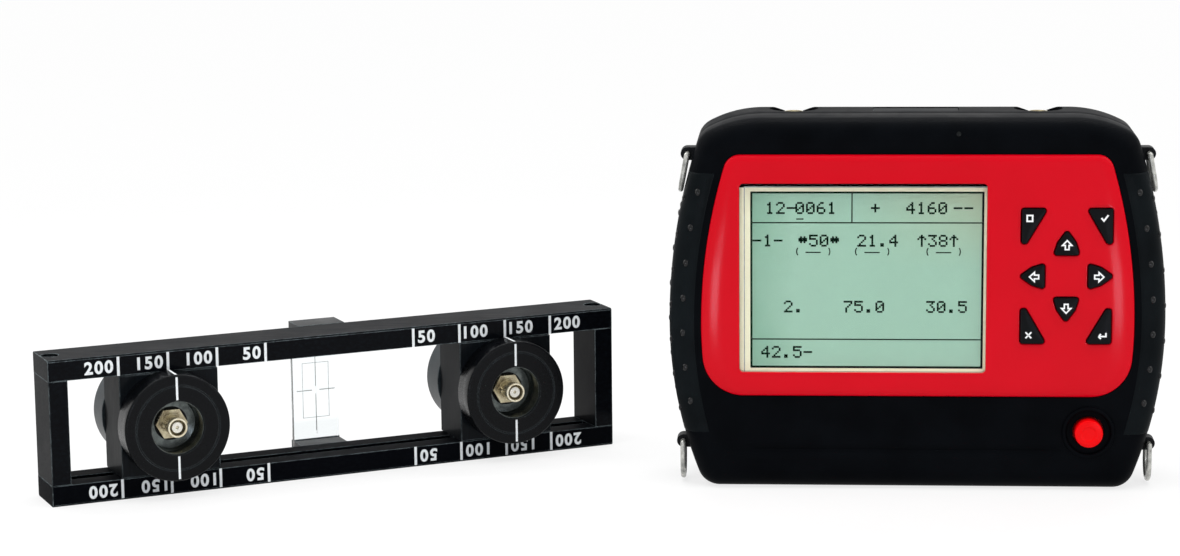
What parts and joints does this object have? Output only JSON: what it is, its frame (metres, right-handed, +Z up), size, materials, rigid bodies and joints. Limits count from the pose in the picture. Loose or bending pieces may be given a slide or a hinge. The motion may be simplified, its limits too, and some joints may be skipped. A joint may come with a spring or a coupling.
{
  "type": "crack depth gauge",
  "caption": "Handheld ultrasonic gauge case with display, arrow keys and strap rings, beside a scale frame in which two round probes slide either side of a clear sight plate.",
  "frame": {"origin": "centre of the instrument case's flat base, where it stands", "axes": "+X to the right along the case's face, +Y from the face towards the back, +Z up; the probe holder stands to the left, turned 28 degrees about +Z"},
  "size_m": [0.5511, 0.1645, 0.183],
  "materials": {
    "case_black": "fine-textured black moulding",
    "fascia_red": "glossy red panel",
    "grip_rubber": "soft black grip with small pips",
    "seal_rubber": "black cord seal",
    "window_clear": "clear polished window",
    "display_grey": "green-grey display",
    "board_green": "green circuit board",
    "spacer_brass": "turned brass",
    "screw_steel": "plain steel",
    "battery_blue": "blue shrink sleeve",
    "button_red": "glossy red cap",
    "switch_grey": "grey switch body",
    "lamp_clear": "frosted lens",
    "lug_black": "black moulding",
    "ring_steel": "bright wire",
    "jack_metal": "pale gold plating",
    "insulator_white": "white insulator",
    "socket_steel": "plain steel shell",
    "socket_black": "black moulding",
    "flap_rubber": "soft black flap",
    "key_black": "smooth black key with a pale legend",
    "frame_anodised": "black anodised",
    "screw_dark": "blackened steel",
    "block_black": "black moulding",
    "sight_clear": "clear acrylic",
    "mark_white": "white filled marks",
    "slider_black": "black moulding",
    "head_black": "satin black disc",
    "transducer_grey": "dark anodised housing",
    "wear_ceramic": "grey wear face"
  },
  "bodies": {
    "host": {"front_shell": "case_black", "rear_shell": "case_black", "red_fascia": "fascia_red", "left_grip": "grip_rubber", "right_grip": "grip_rubber", "case_gasket": "seal_rubber", "display_window": "window_clear", "display_module": "display_grey", "main_board": "board_green", "keypad_board": "board_green", "pulser_board": "board_green", "board_spacers": "spacer_brass", "board_screws": "screw_steel", "case_screws": "screw_steel", "battery_pack": "battery_blue", "battery_cover": "case_black", "power_switch": "switch_grey", "status_lamp": "lamp_clear", "strap_lugs": "lug_black", "transmit_jack": "jack_metal", "receive_jack": "jack_metal", "jack_cores": "insulator_white", "data_socket": "socket_steel", "charging_socket": "socket_black", "flap_pin": "screw_steel"},
    "key_up_body": {"key_up": "key_black"},
    "key_left_body": {"key_left": "key_black"},
    "key_down_body": {"key_down": "key_black"},
    "key_right_body": {"key_right": "key_black"},
    "key_top_left_body": {"key_top_left": "key_black"},
    "key_top_right_body": {"key_top_right": "key_black"},
    "key_bottom_left_body": {"key_bottom_left": "key_black"},
    "key_bottom_right_body": {"key_bottom_right": "key_black"},
    "power_button_body": {"power_button": "button_red"},
    "ring_upper_left_body": {"ring_upper_left": "ring_steel"},
    "ring_upper_right_body": {"ring_upper_right": "ring_steel"},
    "ring_lower_left_body": {"ring_lower_left": "ring_steel"},
    "ring_lower_right_body": {"ring_lower_right": "ring_steel"},
    "port_flap_body": {"port_flap": "flap_rubber"},
    "holder": {"top_rail": "frame_anodised", "bottom_rail": "frame_anodised", "left_end": "frame_anodised", "right_end": "frame_anodised", "frame_screws": "screw_dark", "upper_centre_block": "block_black", "lower_centre_block": "block_black", "sight_plate": "sight_clear", "scale_marks": "mark_white"},
    "left_probe": {"left_slider": "slider_black", "left_head": "head_black", "left_transducer": "transducer_grey", "left_wear_plate": "wear_ceramic", "left_jack": "jack_metal", "left_jack_core": "insulator_white"},
    "right_probe": {"right_slider": "slider_black", "right_head": "head_black", "right_transducer": "transducer_grey", "right_wear_plate": "wear_ceramic", "right_jack": "jack_metal", "right_jack_core": "insulator_white"}
  },
  "joints": [
    {"name": "holder_lift", "type": "slide", "parent": "host", "child": "holder", "axis": [0, 0, 1], "range_m": [0, 0.2]},
    {"name": "left_probe_slide", "type": "slide", "parent": "holder", "child": "left_probe", "axis": [-0.8829, -0.4695, 0], "range_m": [-0.05, 0.025]},
    {"name": "right_probe_slide", "type": "slide", "parent": "holder", "child": "right_probe", "axis": [0.8829, 0.4695, 0], "range_m": [-0.05, 0.025]},
    {"name": "key_up_press", "type": "slide", "parent": "host", "child": "key_up_body", "axis": [0, 1, 0], "range_m": [0, 0.0008], "stiffness_N_per_m": 500},
    {"name": "key_left_press", "type": "slide", "parent": "host", "child": "key_left_body", "axis": [0, 1, 0], "range_m": [0, 0.0008], "stiffness_N_per_m": 500},
    {"name": "key_down_press", "type": "slide", "parent": "host", "child": "key_down_body", "axis": [0, 1, 0], "range_m": [0, 0.0008], "stiffness_N_per_m": 500},
    {"name": "key_right_press", "type": "slide", "parent": "host", "child": "key_right_body", "axis": [0, 1, 0], "range_m": [0, 0.0008], "stiffness_N_per_m": 500},
    {"name": "key_top_left_press", "type": "slide", "parent": "host", "child": "key_top_left_body", "axis": [0, 1, 0], "range_m": [0, 0.0008], "stiffness_N_per_m": 500},
    {"name": "key_top_right_press", "type": "slide", "parent": "host", "child": "key_top_right_body", "axis": [0, 1, 0], "range_m": [0, 0.0008], "stiffness_N_per_m": 500},
    {"name": "key_bottom_left_press", "type": "slide", "parent": "host", "child": "key_bottom_left_body", "axis": [0, 1, 0], "range_m": [0, 0.0008], "stiffness_N_per_m": 500},
    {"name": "key_bottom_right_press", "type": "slide", "parent": "host", "child": "key_bottom_right_body", "axis": [0, 1, 0], "range_m": [0, 0.0008], "stiffness_N_per_m": 500},
    {"name": "power_press", "type": "slide", "parent": "host", "child": "power_button_body", "axis": [0, 1, 0], "range_m": [0, 0.0015], "stiffness_N_per_m": 600},
    {"name": "ring_upper_left_swing", "type": "hinge", "parent": "host", "child": "ring_upper_left_body", "pos_m": [-0.11182, -0.01, 0.1643], "axis": [0, 1, 0], "range_deg": [0, 100]},
    {"name": "ring_upper_right_swing", "type": "hinge", "parent": "host", "child": "ring_upper_right_body", "pos_m": [0.11182, -0.01, 0.1643], "axis": [0, -1, 0], "range_deg": [0, 100]},
    {"name": "ring_lower_left_swing", "type": "hinge", "parent": "host", "child": "ring_lower_left_body", "pos_m": [-0.1143, -0.01, 0.0205], "axis": [0, 1, 0], "range_deg": [-12, 100]},
    {"name": "ring_lower_right_swing", "type": "hinge", "parent": "host", "child": "ring_lower_right_body", "pos_m": [0.1143, -0.01, 0.0205], "axis": [0, -1, 0], "range_deg": [-12, 100]},
    {"name": "port_flap_hinge", "type": "hinge", "parent": "host", "child": "port_flap_body", "pos_m": [0, 0.0154, 0.1812], "axis": [-1, 0, 0], "range_deg": [0, 100]}
  ]
}
